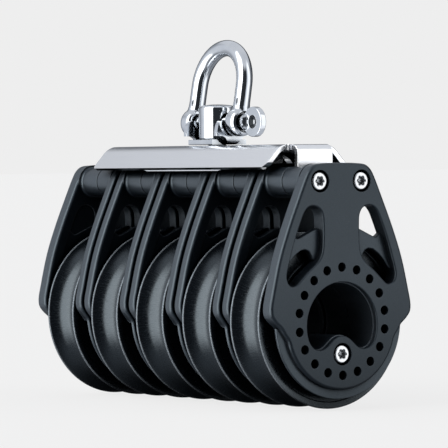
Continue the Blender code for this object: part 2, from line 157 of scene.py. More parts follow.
def grown(loop, distance):
    """The loop moved outward by a distance at every corner."""
    if abs(distance) < 1e-9:
        return list(loop)
    count, out = len(loop), []
    following = loop[1:] + loop[:1]
    area = sum(one[0] * two[1] - two[0] * one[1] for one, two in zip(loop, following))
    sign = 1 if area > 0 else -1
    for i in range(count):
        corner = Vector(loop[i])
        before, after = corner - Vector(loop[i - 1]), Vector(loop[(i + 1) % count]) - corner
        if before.length < 1e-7:
            before = after
        if after.length < 1e-7:
            after = before
        before, after = before.normalized(), after.normalized()
        first, second = (Vector((e.y, -e.x)) * sign for e in (before, after))
        mitre = (first + second) / max(1 + first.dot(second), 0.35)
        out.append((corner.x + mitre.x * distance, corner.y + mitre.y * distance))
    return out


def stadium(radius, count):
    """A slot outline round the two upper bolts."""
    return (
        arc(HEAD_X, HEAD_Z, radius, -90, 90, count) + arc(-HEAD_X, HEAD_Z, radius, 90, 270, count)
    )


# ---- (offset, along) profiles for loft() --------------------------------------
def quarter(steps):
    return [math.pi / 2 * k / steps for k in range(steps + 1)]


def quarter_back(steps):
    return [math.pi / 2 * (1 - k / steps) for k in range(steps + 1)]


def flare(radius, along, angles):
    """A concave quarter round that narrows as it leaves `along`."""
    return [(radius * (1 - math.sin(a)), along + radius * (1 - math.cos(a))) for a in angles]


def edge(low, high, low_radius, high_radius, steps=4):
    """A plate whose two faces have rounded edges."""
    rise = [
        (-low_radius * (1 - math.sin(a)), low + low_radius * (1 - math.cos(a)))
        for a in quarter(steps)
    ]
    return rise + [
        (-high_radius * (1 - math.sin(a)), high - high_radius * (1 - math.cos(a)))
        for a in quarter_back(steps)
    ]


def mouth(face, radius, steps):
    """A cutter that leaves a rounded edge on a face it enters at along = face."""
    entry = [(radius, face - 6.0), (radius, face - 0.004)]
    return entry + flare(radius, face, quarter(steps)[1:])


def boss_foot(root, tip, radius, steps=5):
    """A boss that swells into the plate it stands on."""
    foot = [(radius, root - 0.9)] + flare(radius, root, quarter(steps))
    return foot + [(0, tip - 0.3), (-0.12, tip - 0.09), (-0.3, tip)]


# ---- meshes -----------------------------------------------------------------
PLACE = {
    "Y": lambda a, b, along: (a, along, b),
    "X": lambda a, b, along: (along, a, b),
    "Z": lambda a, b, along: (a, b, along),
}


def link_new(name, mesh):
    obj = bpy.data.objects.new(name, mesh)
    bpy.context.scene.collection.objects.link(obj)
    return obj


def new_object(name, bm):
    bmesh.ops.recalc_face_normals(bm, faces=bm.faces)
    mesh = bpy.data.meshes.new(name)
    bm.to_mesh(mesh)
    bm.free()
    return link_new(name, mesh)


def loft(name, loop, profile, axis="Y"):
    """The loop carried along the axis, grown by each (offset, along), capped at both ends."""
    place = PLACE[axis]
    bm = bmesh.new()
    rings = [
        [bm.verts.new(Vector(place(a, b, along)) * MM) for a, b in grown(loop, offset)]
        for offset, along in profile
    ]
    bm.faces.new(rings[0])
    bm.faces.new(rings[-1][::-1])
    count = len(loop)
    for one, two in zip(rings, rings[1:]):
        for i in range(count):
            j = (i + 1) % count
            bm.faces.new((one[i], two[i], two[j], one[j]))
    return new_object(name, bm)


def prism(name, loop, low, high, axis="Y"):
    return loft(name, loop, [(0, low), (0, high)], axis)


def turned(name, profile, count, axis="Y", at=(0, 0)):
    """(radius, along) points turned round the axis, which stands at `at` in the other two."""
    bm = bmesh.new()
    rings = []
    for radius, along in profile:
        ring = []
        for i in range(count if radius > 0 else 1):
            angle = 2 * math.pi * i / count
            a, b = at[0] + radius * math.cos(angle), at[1] + radius * math.sin(angle)
            ring.append(bm.verts.new(Vector(PLACE[axis](a, b, along)) * MM))
        rings.append(ring)
    bands = list(zip(rings, rings[1:]))
    if profile[0][0] > 0:
        bands.append((rings[-1], rings[0]))
    for one, two in bands:
        for i in range(count):
            j = (i + 1) % count
            corners = []
            for ring, k in ((one, i), (one, j), (two, j), (two, i)):
                if ring[k % len(ring)] not in corners:
                    corners.append(ring[k % len(ring)])
            if len(corners) > 2:
                bm.faces.new(corners)
    return new_object(name, bm)


def drum(name, radius, low, high, count, axis="Y", at=(0, 0)):
    profile = [(0, low), (radius, low), (radius, high), (0, high)]
    return turned(name, profile, count, axis, at)


def swept(name, path, count):
    """A bar along (y, z, radius) points in the x = 0 plane."""
    bm = bmesh.new()
    rings = []
    side = Vector((1, 0, 0))
    for i, (y, z, radius) in enumerate(path):
        before, after = path[max(i - 1, 0)], path[min(i + 1, len(path) - 1)]
        along = Vector((0, after[0] - before[0], after[1] - before[1])).normalized()
        up = along.cross(side)
        ring = []
        for k in range(count):
            angle = 2 * math.pi * k / count
            spoke = radius * (math.cos(angle) * side + math.sin(angle) * up)
            ring.append(bm.verts.new((Vector((0, y, z)) + spoke) * MM))
        rings.append(ring)
    for one, two in zip(rings, rings[1:]):
        for k in range(count):
            j = (k + 1) % count
            bm.faces.new((one[k], one[j], two[j], two[k]))
    bm.faces.new(rings[0])
    bm.faces.new(rings[-1][::-1])
    return new_object(name, bm)


def remove(*objs):
    for obj in objs:
        bpy.data.objects.remove(obj, do_unlink=True)


def fused(*objs):
    """One object holding the meshes of several."""
    bm = bmesh.new()
    for obj in objs:
        bm.from_mesh(obj.data)
        remove(obj)
    return new_object("cutter", bm)


def apply_modifiers(obj):
    bpy.context.view_layer.update()
    graph = bpy.context.evaluated_depsgraph_get()
    mesh = bpy.data.meshes.new_from_object(obj.evaluated_get(graph))
    obj.modifiers.clear()
    obj.data = mesh
    return obj


def boolean(obj, others, operation):
    for other in others:
        modifier = obj.modifiers.new("cut", "BOOLEAN")
        modifier.operation = operation
        modifier.object = other
        apply_modifiers(obj)
        remove(other)
    return obj


def cut(obj, *others):
    return boolean(obj, others, "DIFFERENCE")


def join(obj, *others):
    return boolean(obj, others, "UNION")


def common(obj, other):
    return boolean(obj, [other], "INTERSECT")


def forged(obj, voxel, rounds):
    """Voxel remesh and a light smoothing, which leaves the soft blends of a forging."""
    remesh = obj.modifiers.new("remesh", "REMESH")
    remesh.mode = "VOXEL"
    remesh.voxel_size = voxel * MM
    smooth = obj.modifiers.new("smooth", "SMOOTH")
    smooth.factor = 0.5
    smooth.iterations = rounds
    return apply_modifiers(obj)


def tidy(obj):
    """Merges doubled points and drops slivers and loose points, by distances in metres."""
    bm = bmesh.new()
    bm.from_mesh(obj.data)
    bmesh.ops.remove_doubles(bm, verts=bm.verts, dist=2e-7)
    bmesh.ops.dissolve_degenerate(bm, edges=bm.edges, dist=1e-7)
    loose = [v for v in bm.verts if not v.link_faces]
    bmesh.ops.delete(bm, geom=loose, context="VERTS")
    bm.to_mesh(obj.data)
    bm.free()
    return obj


def duplicate(obj):
    return link_new(obj.name, obj.data.copy())


def settle(obj, name, node, look, body="block_frame", at=(0, 0, 0), turn=0.0, tilt=0.0,
           sharp=32, weighted=True):
    """Puts a finished mesh in place in the frame, gives it its look and its body."""
    obj.name = name
    obj.data.name = name
    place = Matrix.Translation(Vector((at[0], at[1], at[2] + AXIS_Z)) * MM)
    turned_z = Matrix.Rotation(math.radians(turn), 4, "Z")
    obj.data.transform(place @ turned_z @ Matrix.Rotation(math.radians(tilt), 4, "Y"))
    obj.data.materials.clear()
    obj.data.materials.append(look)
    obj.data.shade_smooth()
    obj.data.set_sharp_from_angle(angle=math.radians(sharp))
    if weighted:
        modifier = obj.modifiers.new("normals", "WEIGHTED_NORMAL")
        modifier.keep_sharp = True
    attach(obj, body)
    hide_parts(node)


# ---- material nodes ---------------------------------------------------------
class Nodes:
    """Short names for wiring a node tree. idle holds what a math node's third input is set to."""

    def __init__(self, tree, idle=(0.0,)):
        self.tree = tree
        self.idle = idle

    def add(self, kind, **values):
        node = self.tree.nodes.new(kind)
        for key, value in values.items():
            setattr(node, key, value)
        return node

    def link(self, source, target):
        self.tree.links.new(source, target)

    def set(self, socket, value):
        if isinstance(value, bpy.types.NodeSocket):
            self.link(value, socket)
        else:
            socket.default_value = value

    def math(self, operation, first, second=0.0):
        node = self.add("ShaderNodeMath", operation=operation)
        for socket, value in zip(node.inputs, (first, second) + self.idle):
            self.set(socket, value)
        return node.outputs[0]

    def times(self, value, by):
        return self.math("MULTIPLY", value, by)

    def hypotenuse(self, one, two):
        return self.math("SQRT", self.math("ADD", self.times(one, one), self.times(two, two)))

    def remap(self, value, between, to=(0.0, 1.0), curve="LINEAR"):
        node = self.add("ShaderNodeMapRange", clamp=True, interpolation_type=curve)
        names = ("Value", "From Min", "From Max", "To Min", "To Max")
        for name, item in zip(names, (value, *between, *to)):
            self.set(node.inputs[name], item)
        return node.outputs["Result"]

    def mix(self, factor, base, over):
        node = self.add("ShaderNodeMix", data_type="RGBA", blend_type="MIX")
        self.set(node.inputs[0], factor)
        for i, colour in ((6, base), (7, over)):
            self.set(node.inputs[i], (*colour, 1.0) if isinstance(colour, tuple) else colour)
        return node.outputs[2]

    def mix_shader(self, factor, one, two):
        node = self.add("ShaderNodeMixShader")
        for socket, value in zip(node.inputs, (factor, one, two)):
            self.set(socket, value)
        return node.outputs[0]

    def split(self, vector):
        node = self.add("ShaderNodeSeparateXYZ")
        self.link(vector, node.inputs[0])
        return node.outputs

    def dot(self, one, two):
        node = self.add("ShaderNodeVectorMath", operation="DOT_PRODUCT")
        self.set(node.inputs[0], one)
        self.set(node.inputs[1], two)
        return node.outputs["Value"]

    def camera_ray(self):
        return self.add("ShaderNodeLightPath").outputs["Is Camera Ray"]


class Look(Nodes):
    """The nodes of one new material. Lengths in it are metres."""

    def __init__(self, name):
        self.material = bpy.data.materials.new(name)
        self.material.use_nodes = True
        super().__init__(self.material.node_tree)
        self.shader = self.tree.nodes["Principled BSDF"]

    def mix_value(self, factor, base, over):
        node = self.add("ShaderNodeMix", data_type="FLOAT")
        self.set(node.inputs[0], factor)
        self.set(node.inputs[2], base)
        self.set(node.inputs[3], over)
        return node.outputs[0]

    def spot(self):
        return self.add("ShaderNodeTexCoord").outputs["Object"]

    def normal(self):
        return self.add("ShaderNodeNewGeometry").outputs["Normal"]

    def stretched(self, scale):
        node = self.add("ShaderNodeMapping")
        self.link(self.spot(), node.inputs["Vector"])
        node.inputs["Scale"].default_value = scale
        return node.outputs["Vector"]

    def noise(self, vector=None, scale=1.0, detail=2.0, rough=0.5):
        vector = vector or self.spot()
        node = self.add("ShaderNodeTexNoise")
        self.link(vector, node.inputs["Vector"])
        node.inputs["Scale"].default_value = scale
        node.inputs["Detail"].default_value = detail
        node.inputs["Roughness"].default_value = rough
        return node.outputs["Fac"]

    def bump(self, height, strength, distance, normal=None):
        node = self.add("ShaderNodeBump")
        self.set(node.inputs["Height"], height)
        node.inputs["Strength"].default_value = strength
        node.inputs["Distance"].default_value = distance
        if normal is not None:
            self.link(normal, node.inputs["Normal"])
        return node.outputs["Normal"]

    def hollow(self, reach, between):
        """0 deep in a gap, 1 in the open: the occlusion mask used for painted shade."""
        node = self.add("ShaderNodeAmbientOcclusion", samples=6)
        node.inputs["Distance"].default_value = reach
        return self.remap(node.outputs["AO"], between)

    def edge_wear_and_highlight(self, radius):
        """1 on convex edges, from how far a rounded normal leans from the true one; used for edge
        wear and painted highlights.
        """
        bevel = self.add("ShaderNodeBevel", samples=5)
        bevel.inputs["Radius"].default_value = radius
        lean = self.dot(bevel.outputs["Normal"], self.normal())
        return self.remap(lean, between=(0.995, 0.86))

    def above_axis(self, z):
        return self.math("SUBTRACT", z, AXIS_Z * MM)

    def round_axis(self, per_radius, per_along, per_turn):
        """Coordinates that run round the sheave axis, for marks left by turning."""
        x, y, z = self.split(self.spot())
        z = self.above_axis(z)
        made = self.add("ShaderNodeCombineXYZ")
        self.link(self.times(self.hypotenuse(x, z), per_radius), made.inputs[0])
        self.link(self.times(y, per_along), made.inputs[1])
        self.link(self.times(self.math("ARCTAN2", z, x), per_turn), made.inputs[2])
        return made.outputs[0]

    def finish(self, colour, shade, gap, rough, normal, metal=False):
        """Wires the shader; the colour falls to `gap`, a painted shade colour, where shade is 0."""
        self.link(self.mix(shade, gap, colour), self.shader.inputs["Base Color"])
        if metal:
            self.shader.inputs["Metallic"].default_value = 1.0
        self.link(rough, self.shader.inputs["Roughness"])
        self.link(normal, self.shader.inputs["Normal"])
        return self.material

    def specular(self, level, tint):
        self.link(level, self.shader.inputs["Specular IOR Level"])
        self.shader.inputs["Specular Tint"].default_value = (*tint, 1.0)


def nylon():
    """Fine-grained glass-filled nylon, with edge wear and a painted highlight along its edges, and
    painted shade, nearly black, down in the gaps.
    """
    look = Look("grained_nylon")
    grain = look.noise(scale=2600, detail=3.0, rough=0.65)
    cloud = look.noise(scale=90, detail=3.0)
    fleck = look.noise(scale=5200, detail=1.0)
    colour = look.mix(
        look.remap(grain, between=(0.3, 0.7)),
        base=(0.0095, 0.0135, 0.0185), over=(0.020, 0.027, 0.036),
    )
    clouds = look.remap(cloud, between=(0.35, 0.65), to=(0.0, 0.35))
    colour = look.mix(clouds, colour, over=(0.010, 0.012, 0.015))
    flecks = look.remap(fleck, between=(0.64, 0.76), to=(0.0, 0.6))
    colour = look.mix(flecks, colour, over=(0.050, 0.058, 0.070))
    # edge wear, patchy with the grain, plus a painted highlight: convex edges get a lighter colour
    patchy = look.remap(grain, between=(0.35, 0.6), to=(0.55, 1.0))
    wear_and_highlight = look.times(look.edge_wear_and_highlight(radius=0.00045), patchy)
    colour = look.mix(look.times(wear_and_highlight, by=0.75), colour, over=(0.20, 0.225, 0.25))
    # painted shade from occlusion: faces square to y, short of the raised end faces, darken most in
    # the gaps
    facing, place = look.split(look.normal()), look.split(look.spot())
    wall = look.remap(look.math("ABSOLUTE", facing[1]), between=(0.80, 0.97))
    inside = look.remap(
        look.math("ABSOLUTE", place[1]), between=(0.0652, 0.0658), to=(1.0, 0.0)
    )
    open_air = look.hollow(reach=0.015, between=(0.32, 0.82))
    near = look.hollow(reach=0.0012, between=(0.30, 0.75))
    depth = look.math("ADD", 0.75, look.times(look.times(wall, inside), by=3.2))
    shade = look.times(
        look.math("POWER", open_air, depth),
        look.remap(near, between=(0.0, 1.0), to=(0.25, 1.0)),
    )
    inner_walls = look.times(wall, inside)
    shade = look.times(shade, look.remap(inner_walls, between=(0.0, 1.0), to=(1.0, 0.30)))
    # painted shade: the raised end faces are darker towards their round lower ends
    end_face = look.remap(look.math("ABSOLUTE", place[1]), between=(0.0676, 0.0682))
    lower_end_shade = look.remap(look.above_axis(place[2]), between=(-0.022, 0.016), to=(0.50, 0.84))
    shade = look.times(shade, look.mix_value(end_face, base=1.0, over=lower_end_shade))
    # the narrow outline edges are smoother, with stronger specular, and get a painted highlight: a
    # lighter colour on faces that look along x
    rim = look.remap(look.math("ABSOLUTE", facing[0]), between=(0.62, 0.88))
    colour = look.mix(look.times(rim, by=0.55), colour, over=(0.036, 0.043, 0.051))
    level = look.times(
        look.remap(shade, between=(0.0, 1.0), to=(0.01, 0.62)),
        look.remap(rim, between=(0.0, 1.0), to=(1.0, 1.4)),
    )
    look.specular(level, tint=(0.74, 0.89, 1.0))
    clouded = look.bump(cloud, strength=0.1, distance=0.0002)
    return look.finish(
        colour, shade, gap=(0.0006, 0.0016, 0.0028),
        rough=look.remap(grain, between=(0.3, 0.7), to=(0.26, 0.40)),
        normal=look.bump(grain, strength=0.45, distance=0.00006, normal=clouded),
    )


def resin():
    """Satin black sheave resin with faint turning marks and a streaked painted highlight on its
    rims.
    """
    look = Look("sheave_resin")
    fine = look.round_axis(per_radius=5200, per_along=5200, per_turn=3.0)
    marks = look.noise(fine, detail=3.0, rough=0.6)
    coarse = look.round_axis(per_radius=330, per_along=330, per_turn=95.0)
    streak = look.noise(coarse, detail=4.0, rough=0.75)
    colour = look.mix(
        look.remap(marks, between=(0.35, 0.7)),
        base=(0.0025, 0.0035, 0.005), over=(0.006, 0.008, 0.011),
    )
    # edge wear with a painted highlight: convex edges get a lighter colour
    wear_and_highlight = look.times(look.edge_wear_and_highlight(radius=0.0003), by=0.6)
    colour = look.mix(wear_and_highlight, colour, over=(0.16, 0.175, 0.19))
    # painted highlight: a light, streaked band of colour on the rim lip
    x, _, z = look.split(look.spot())
    rim = look.remap(
        look.hypotenuse(x, look.above_axis(z)), between=(28.12 * MM, 28.34 * MM)
    )
    rim_highlight = look.times(rim, look.remap(streak, between=(0.25, 0.75), to=(0.35, 1.0)))
    colour = look.mix(rim_highlight, colour, over=(0.24, 0.27, 0.30))
    # painted shade from occlusion, which also dims the specular
    shade = look.math("POWER", look.hollow(reach=0.016, between=(0.22, 0.66)), 1.5)
    level = look.remap(shade, between=(0.0, 1.0), to=(0.02, 0.9))
    look.specular(level, tint=(0.78, 0.91, 1.0))
    streaked = look.bump(streak, strength=0.22, distance=0.00012)
    return look.finish(
        colour, shade, gap=(0.0003, 0.0007, 0.0012),
        rough=look.remap(streak, between=(0.32, 0.68), to=(0.13, 0.34)),
        normal=look.bump(marks, strength=0.08, distance=0.00005, normal=streaked),
    )


def acetal():
    """Dark bearing balls, smooth and faintly mottled."""
    look = Look("bearing_acetal")
    mottle = look.noise(scale=700, detail=3.0)
    # painted shade from occlusion
    shade = look.hollow(reach=0.004, between=(0.2, 0.8))
    colour = look.mix(
        look.remap(mottle, between=(0.3, 0.7)),
        base=(0.010, 0.011, 0.013), over=(0.022, 0.023, 0.025),
    )
    return look.finish(
        colour, shade, gap=(0.001, 0.001, 0.002),
        rough=look.remap(mottle, between=(0.3, 0.7), to=(0.22, 0.34)),
        normal=look.bump(mottle, strength=0.05, distance=0.00005),
    )


def sheet():
    """Satin stainless sheet, brushed along the row, with a little blue in it."""
    look = Look("satin_sheet")
    brushed = look.noise(look.stretched((5200, 70, 5200)), detail=3.0, rough=0.7)
    wave = look.noise(look.stretched((90, 22, 90)))
    colour = look.mix(
        look.remap(brushed, between=(0.3, 0.7)),
        base=(0.79, 0.805, 0.835), over=(0.86, 0.87, 0.89),
    )
    # edge wear with a painted highlight: convex edges get a lighter colour
    wear_and_highlight = look.times(look.edge_wear_and_highlight(radius=0.0004), by=0.9)
    colour = look.mix(wear_and_highlight, colour, over=(0.97, 0.97, 0.98))
    # painted shade: faces that look down are darker, and so are occluded places
    below = look.remap(look.split(look.normal())[2], between=(-0.72, -0.30), to=(0.10, 1.0))
    shade = look.times(look.hollow(reach=0.008, between=(0.10, 0.50)), below)
    waved = look.bump(wave, strength=0.05, distance=0.0006)
    return look.finish(
        colour, shade, gap=(0.012, 0.015, 0.020),
        rough=look.remap(brushed, between=(0.3, 0.7), to=(0.17, 0.27)),
        normal=look.bump(brushed, strength=0.04, distance=0.00003, normal=waved), metal=True,
    )


def polished():
    """Mirror-polished forged stainless with the slight waviness hand polishing leaves."""
    look = Look("polished_forging")
    wave = look.noise(scale=210)
    hair = look.noise(look.stretched((900, 900, 6000)), rough=0.6)
    colour = look.mix(
        look.remap(wave, between=(0.3, 0.7)),
        base=(0.59, 0.62, 0.655), over=(0.67, 0.695, 0.725),
    )
    # painted shade from occlusion
    shade = look.math("POWER", look.hollow(reach=0.004, between=(0.12, 0.62)), 1.2)
    # painted shade: the bore of the pin's tab is darkened
    _, y, z = look.split(look.spot())
    from_bore = look.hypotenuse(
        look.math("SUBTRACT", y, PIN_TAB_Y * MM), look.math("SUBTRACT", z, PIN_AT[2])
    )
    bore = look.remap(from_bore, between=(2.18 * MM, 2.30 * MM), to=(0.04, 1.0))
    return look.finish(
        colour, look.times(shade, bore), gap=(0.012, 0.015, 0.018),
        rough=look.remap(hair, between=(0.3, 0.7), to=(0.05, 0.11)),
        normal=look.bump(wave, strength=0.05, distance=0.0005), metal=True,
    )


def screw_steel():
    """Bright machined stainless for the screws and nuts."""
    look = Look("machined_stainless")
    mottle = look.noise(scale=2400)
    colour = look.mix(
        look.remap(mottle, between=(0.3, 0.7)),
        base=(0.62, 0.63, 0.64), over=(0.76, 0.77, 0.78),
    )
    # painted shade from occlusion darkens the screws and nuts in their recesses
    return look.finish(
        colour, look.hollow(reach=0.0022, between=(0.12, 0.7)), gap=(0.10, 0.105, 0.11),
        rough=look.remap(mottle, between=(0.3, 0.7), to=(0.16, 0.30)),
        normal=look.bump(mottle, strength=0.08, distance=0.00004), metal=True,
    )


NYLON, RESIN, ACETAL = nylon(), resin(), acetal()
SHEET, POLISHED, SCREW = sheet(), polished(), screw_steel()

# ---- side plates ------------------------------------------------------------
# distances from a block's mid-plane
INNER_IN, END_IN, PLATE_OUT = 8.8, 9.5, 12.8
LEDGE_IN = 11.7
PAD_OUT = ROW_END + MID_Y[1]
MID_GAP = 0.15

EDGE_R = 1.15
FOOT_R = 25.2  # the round lower end
HUB_R, HUB_FILLET = 15.3, 0.5
COUNTERBORE_R = 3.55
RINSE_HOLES, RINSE_R = 18, 1.5
CLEAR_OUT, CLEAR_IN = -20, 1  # ends of the cutters that pass through a plate

# (x, z) down the +x side of the outline, shared by both kinds of plate
SIDE = [
    (8.6, 50.7), (10.9, 50.1), (12.6, 48.6), (13.9, 46.4), (17.2, 39.2), (21.2, 30.0),
    (24.8, 20.2), (27.4, 9.8), (28.4, 4.8), (28.1, 2.3),
]
inner_foot = [(26.7, 0.1), (25.3, -1.8)] + arc(0, 0, FOOT_R, -9, -88, 12)
end_foot = [(26.5, 0.2), (24.4, -1.6), (22.9, -3.8)] + arc(0, 0, 22.2, -15, -88, 12)
inner_loop = spline(mirrored(SIDE + inner_foot), 4)
end_loop = spline(mirrored(SIDE + end_foot), 4)
ledge_loop = arc(0, 0, FOOT_R, -4, -176, 70)

# (x, z) of the wavy lower edge of the heart-shaped recess, from the middle out to +x
HEART = [
    (0, -4.7), (1.7, -4.95), (3.3, -5.8), (5.0, -7.2), (6.8, -8.6), (8.9, -9.15),
    (11.2, -8.4), (12.8, -6.7),
]
heart_top = arc(0, -1.4, 14.0, -14, 194, 31)
heart_loop = spline(HEART + heart_top + [(-x, z) for x, z in reversed(HEART[1:])], 2)

# (x, z) of the +x window and of the web set into it
WINDOW = [
    (10.6, 37.1), (8.7, 36.2), (7.6, 34.3), (7.35, 31.5), (7.35, 27.0), (7.5, 23.8),
    (8.1, 21.3), (9.4, 19.4), (13.6, 16.0), (16.7, 13.2), (18.2, 11.9), (19.8, 11.7),
    (21.2, 12.7), (21.8, 14.6), (21.4, 17.0), (20.5, 20.0), (19.1, 24.5), (17.5, 28.8),
    (16.0, 32.3), (14.7, 35.0), (13.4, 36.5), (12.0, 37.1),
]
WEB = [
    (6.2, 30.3), (9.4, 29.5), (14.7, 27.1), (15.9, 26.8), (17.0, 27.6), (18.6, 28.9),
    (20.9, 26.0), (23.2, 17.4), (21.9, 15.9), (20.7, 16.9), (18.9, 19.3), (16.9, 21.3),
    (14.5, 22.9), (12.8, 23.2), (11.3, 22.6), (10.3, 21.1), (9.9, 20.0), (8.6, 18.8),
    (6.2, 19.8),
]
window_loop, web_loop = spline(WINDOW, 3), rounded(WEB, 0.7, 3)


def plate_bores(end, outer, inner):
    """Cutters for the heart, the windows, the bolt holes and the ring of rinse holes."""
    heart = mouth(outer, 0.5, 4)
    if end:
        heart += [(0, -PLATE_OUT - 0.1), (-0.1, -PLATE_OUT + 0.02), (-0.25, -PLATE_OUT + 0.1)]
    else:
        heart += [(0, -PLATE_OUT + 0.9), (-0.25, -PLATE_OUT + 1.2)]
    bores = [loft("heart", heart_loop, heart + [(-0.25, CLEAR_IN)])]
    window = mouth(outer, 0.7, 5)
    window += [(0, inner - 0.35), (0.1, inner - 0.1), (0.35, inner), (0.35, CLEAR_IN)]
    bores += [loft("window", flipped(window_loop, side), window) for side in (1, -1)]
    for spot in ((HEAD_X, HEAD_Z), (-HEAD_X, HEAD_Z), (0, HUB_BOLT_Z)):
        if end:
            wide, seat = COUNTERBORE_R + 0.4, outer + COUNTERBORE_DEEP
            profile = [
                (0, CLEAR_OUT), (wide, CLEAR_OUT), (wide, outer),
                (COUNTERBORE_R + 0.12, outer + 0.12), (COUNTERBORE_R, outer + 0.4),
                (COUNTERBORE_R, seat), (BOLT_HOLE_R, seat),
                (BOLT_HOLE_R, CLEAR_IN), (0, CLEAR_IN),
            ]
            bores.append(turned("bore", profile, 40, at=spot))
        else:
            bores.append(drum("bore", BOLT_HOLE_R, CLEAR_OUT, CLEAR_IN, 40, at=spot))
    rinse = [
        (0, CLEAR_OUT), (1.78, CLEAR_OUT), (1.78, outer), (1.58, outer + 0.09),
        (RINSE_R, outer + 0.28), (RINSE_R, inner + 0.5), (0, inner + 0.5),
    ]
    for k in range(RINSE_HOLES):
        a = 2 * math.pi * k / RINSE_HOLES
        spot = (BALL_RING_R * math.sin(a), BALL_RING_R * math.cos(a))
        bores.append(turned("rinse", rinse, 20, at=spot))
    return fused(*bores)


def side_plate(end=False, blind=False):
    """A side plate on the -y side of its block's mid-plane, which is y = 0.

    end makes the thick plate of a row's end; blind closes its windows with a skin.
    """
    outer, inner = -(PAD_OUT if end else PLATE_OUT), -(END_IN if end else INNER_IN)
    outline = end_loop if end else inner_loop
    plate = loft("plate", outline, edge(outer, inner, EDGE_R, EDGE_R, 7))
    if end:
        join(plate, loft("ledge", ledge_loop, edge(-PLATE_OUT, -LEDGE_IN, 0.35, 0.3, 3)))
    else:
        boss = [
            (0, -PLATE_OUT - 0.55), (3.9, -PLATE_OUT - 0.55), (4.2, -PLATE_OUT - 0.25),
            (4.2, -PLATE_OUT + 0.7), (0, -PLATE_OUT + 0.7),
        ]
        join(plate, fused(*[turned("boss", boss, 32, at=(x, HEAD_Z)) for x in (HEAD_X, -HEAD_X)]))
    # below the corners the plate thins from the inside to a lip that clears the sheave
    relief = arc(0, 0, 30.0, -5, -175, 60) + arc(0, 0, 20.8, -175, -5, 60)
    thinning = [(0, -LEDGE_IN), (0.1, -10.6), (0.5, -9.7), (1.3, -8.6), (1.3, -6.0)]
    cut(plate, loft("thin", relief, thinning))
    hub = [(0, inner - 1), (HUB_R + HUB_FILLET, inner - 1), (HUB_R + HUB_FILLET, inner)]
    fillet = flare(HUB_FILLET, inner, (0.4, 0.8, 1.2, 1.57))
    hub += [(HUB_R + offset, along) for offset, along in fillet]
    hub += [(HUB_R, -MID_GAP - 0.2), (HUB_R - 0.2, -MID_GAP), (0, -MID_GAP)]
    head = boss_foot(inner, -MID_GAP, 1.0)
    join(plate, turned("hub", hub, 96), loft("head", stadium(4.7, 21), head))
    cut(plate, plate_bores(end, outer, inner))
    web_edge = edge(-12.2 if end else -11.6, inner - 0.3, 0.5, 0.3, 4)
    webs = [loft("web", flipped(web_loop, side), web_edge) for side in (1, -1)]
    if blind:
        for web, side in zip(webs, (1, -1)):
            skin = grown(flipped(window_loop, side), 0.6)
            join(web, prism("skin", skin, inner - 1.4, inner - 0.5))
    join(plate, fused(*webs))
    # a pocket in the head, open upward, takes the folded tabs
    pocket = prism("pocket", stadium(3.5, 9), -1.25, CLEAR_IN)
    neck = [(-7.5, 45.0), (7.5, 45.0), (7.5, 52.0), (-7.5, 52.0)]
    join(pocket, prism("neck", neck, -1.25, CLEAR_IN))
    return tidy(cut(plate, pocket))


# ---- sheaves and balls --------------------------------------------------------
GROOVE_R, GROOVE_FLOOR, GROOVE_DEG = 7.63, 23.3, 70.7
RACE_R = 19.55
BALLS, BALL_R, BALL_Y = 28, 1.82, 5.6


def sheave_wheel():
    """A grooved wheel with a ball race in each face."""
    groove = []
    for k in range(25):
        a = math.radians(GROOVE_DEG * (k / 12 - 1))
        groove.append((GROOVE_FLOOR + GROOVE_R * (1 - math.cos(a)), GROOVE_R * math.sin(a)))
    # (radius, y) from the rim over the face to the bore
    face = [
        (28.44, 7.32), (SHEAVE_R, 7.5), (28.45, 7.72), (28.3, 7.9), (28.05, 8.0), (26.5, 8.0),
        (26.3, 7.93), (26.1, 7.7), (21.6, 7.7), (21.4, 7.93), (21.2, 8.0), (19.9, 8.0),
        (19.65, 7.9), (RACE_R, 7.65), (RACE_R, 3.7), (19.35, 3.5), (16.05, 3.5), (15.85, 3.3),
    ]
    return turned("sheave", groove + face + [(r, -y) for r, y in reversed(face)], 160)


def ball_row():
    """A full row of loose balls, each one a separate ball."""
    bm = bmesh.new()
    for k in range(BALLS):
        a = 2 * math.pi * (k + 0.5) / BALLS
        spot = Vector((BALL_RING_R * math.cos(a), 0, BALL_RING_R * math.sin(a))) * MM
        bmesh.ops.create_uvsphere(
            bm, u_segments=16, v_segments=10, radius=BALL_R * MM, matrix=Matrix.Translation(spot)
        )
    return new_object("balls", bm)


def build_blocks():
    end_plate, inner_plate = side_plate(end=True), side_plate()
    far_plate = side_plate(end=True, blind=True)
    special = {(1, "a"): end_plate, (BLOCKS, "b"): far_plate}
    sheave, row = sheave_wheel(), ball_row()
    for n in range(1, BLOCKS + 1):
        y = MID_Y[n]
        for side, turn, shift in (("a", 0, -BALL_Y), ("b", 180, BALL_Y)):
            plate = duplicate(special.get((n, side), inner_plate))
            settle(plate, f"plate_moulding_{n}{side}", f"side_plate_{n}{side}",
                   NYLON, at=(0, y, 0), turn=turn)
            ring = f"ball_ring_{n}{side}"
            settle(duplicate(row), f"ball_row_{n}{side}", ring, ACETAL, body=ring,
                   at=(0, y + shift, 0), sharp=60, weighted=False)
        settle(duplicate(sheave), f"sheave_wheel_{n}", f"sheave_{n}", RESIN,
               body=f"sheave_{n}", at=(0, y, 0), sharp=40)
    remove(end_plate, inner_plate, far_plate, row, sheave)


build_blocks()

# ---- screws and nuts ------------------------------------------------------------
SEAT = ROW_END - COUNTERBORE_DEEP
BOLT_HEAD_R, BOLT_HEAD_ROUND = 2.95, 0.6


def thread(one_turn, start, stop, pitch):
    """(radius, offset) points of one turn, repeated from start until stop."""
    points = []
    while (stop - start) * pitch > 0:
        points += [(radius, start + offset) for radius, offset in one_turn]
        start += pitch
    return points


def lobed(radius, depth, count=48):
    """A six-lobed driver socket outline."""
    loop = []
    for i in range(count):
        a = 2 * math.pi * i / count
        reach = radius + depth * math.cos(6 * a)
        loop.append((reach * math.cos(a), reach * math.sin(a)))
    return loop


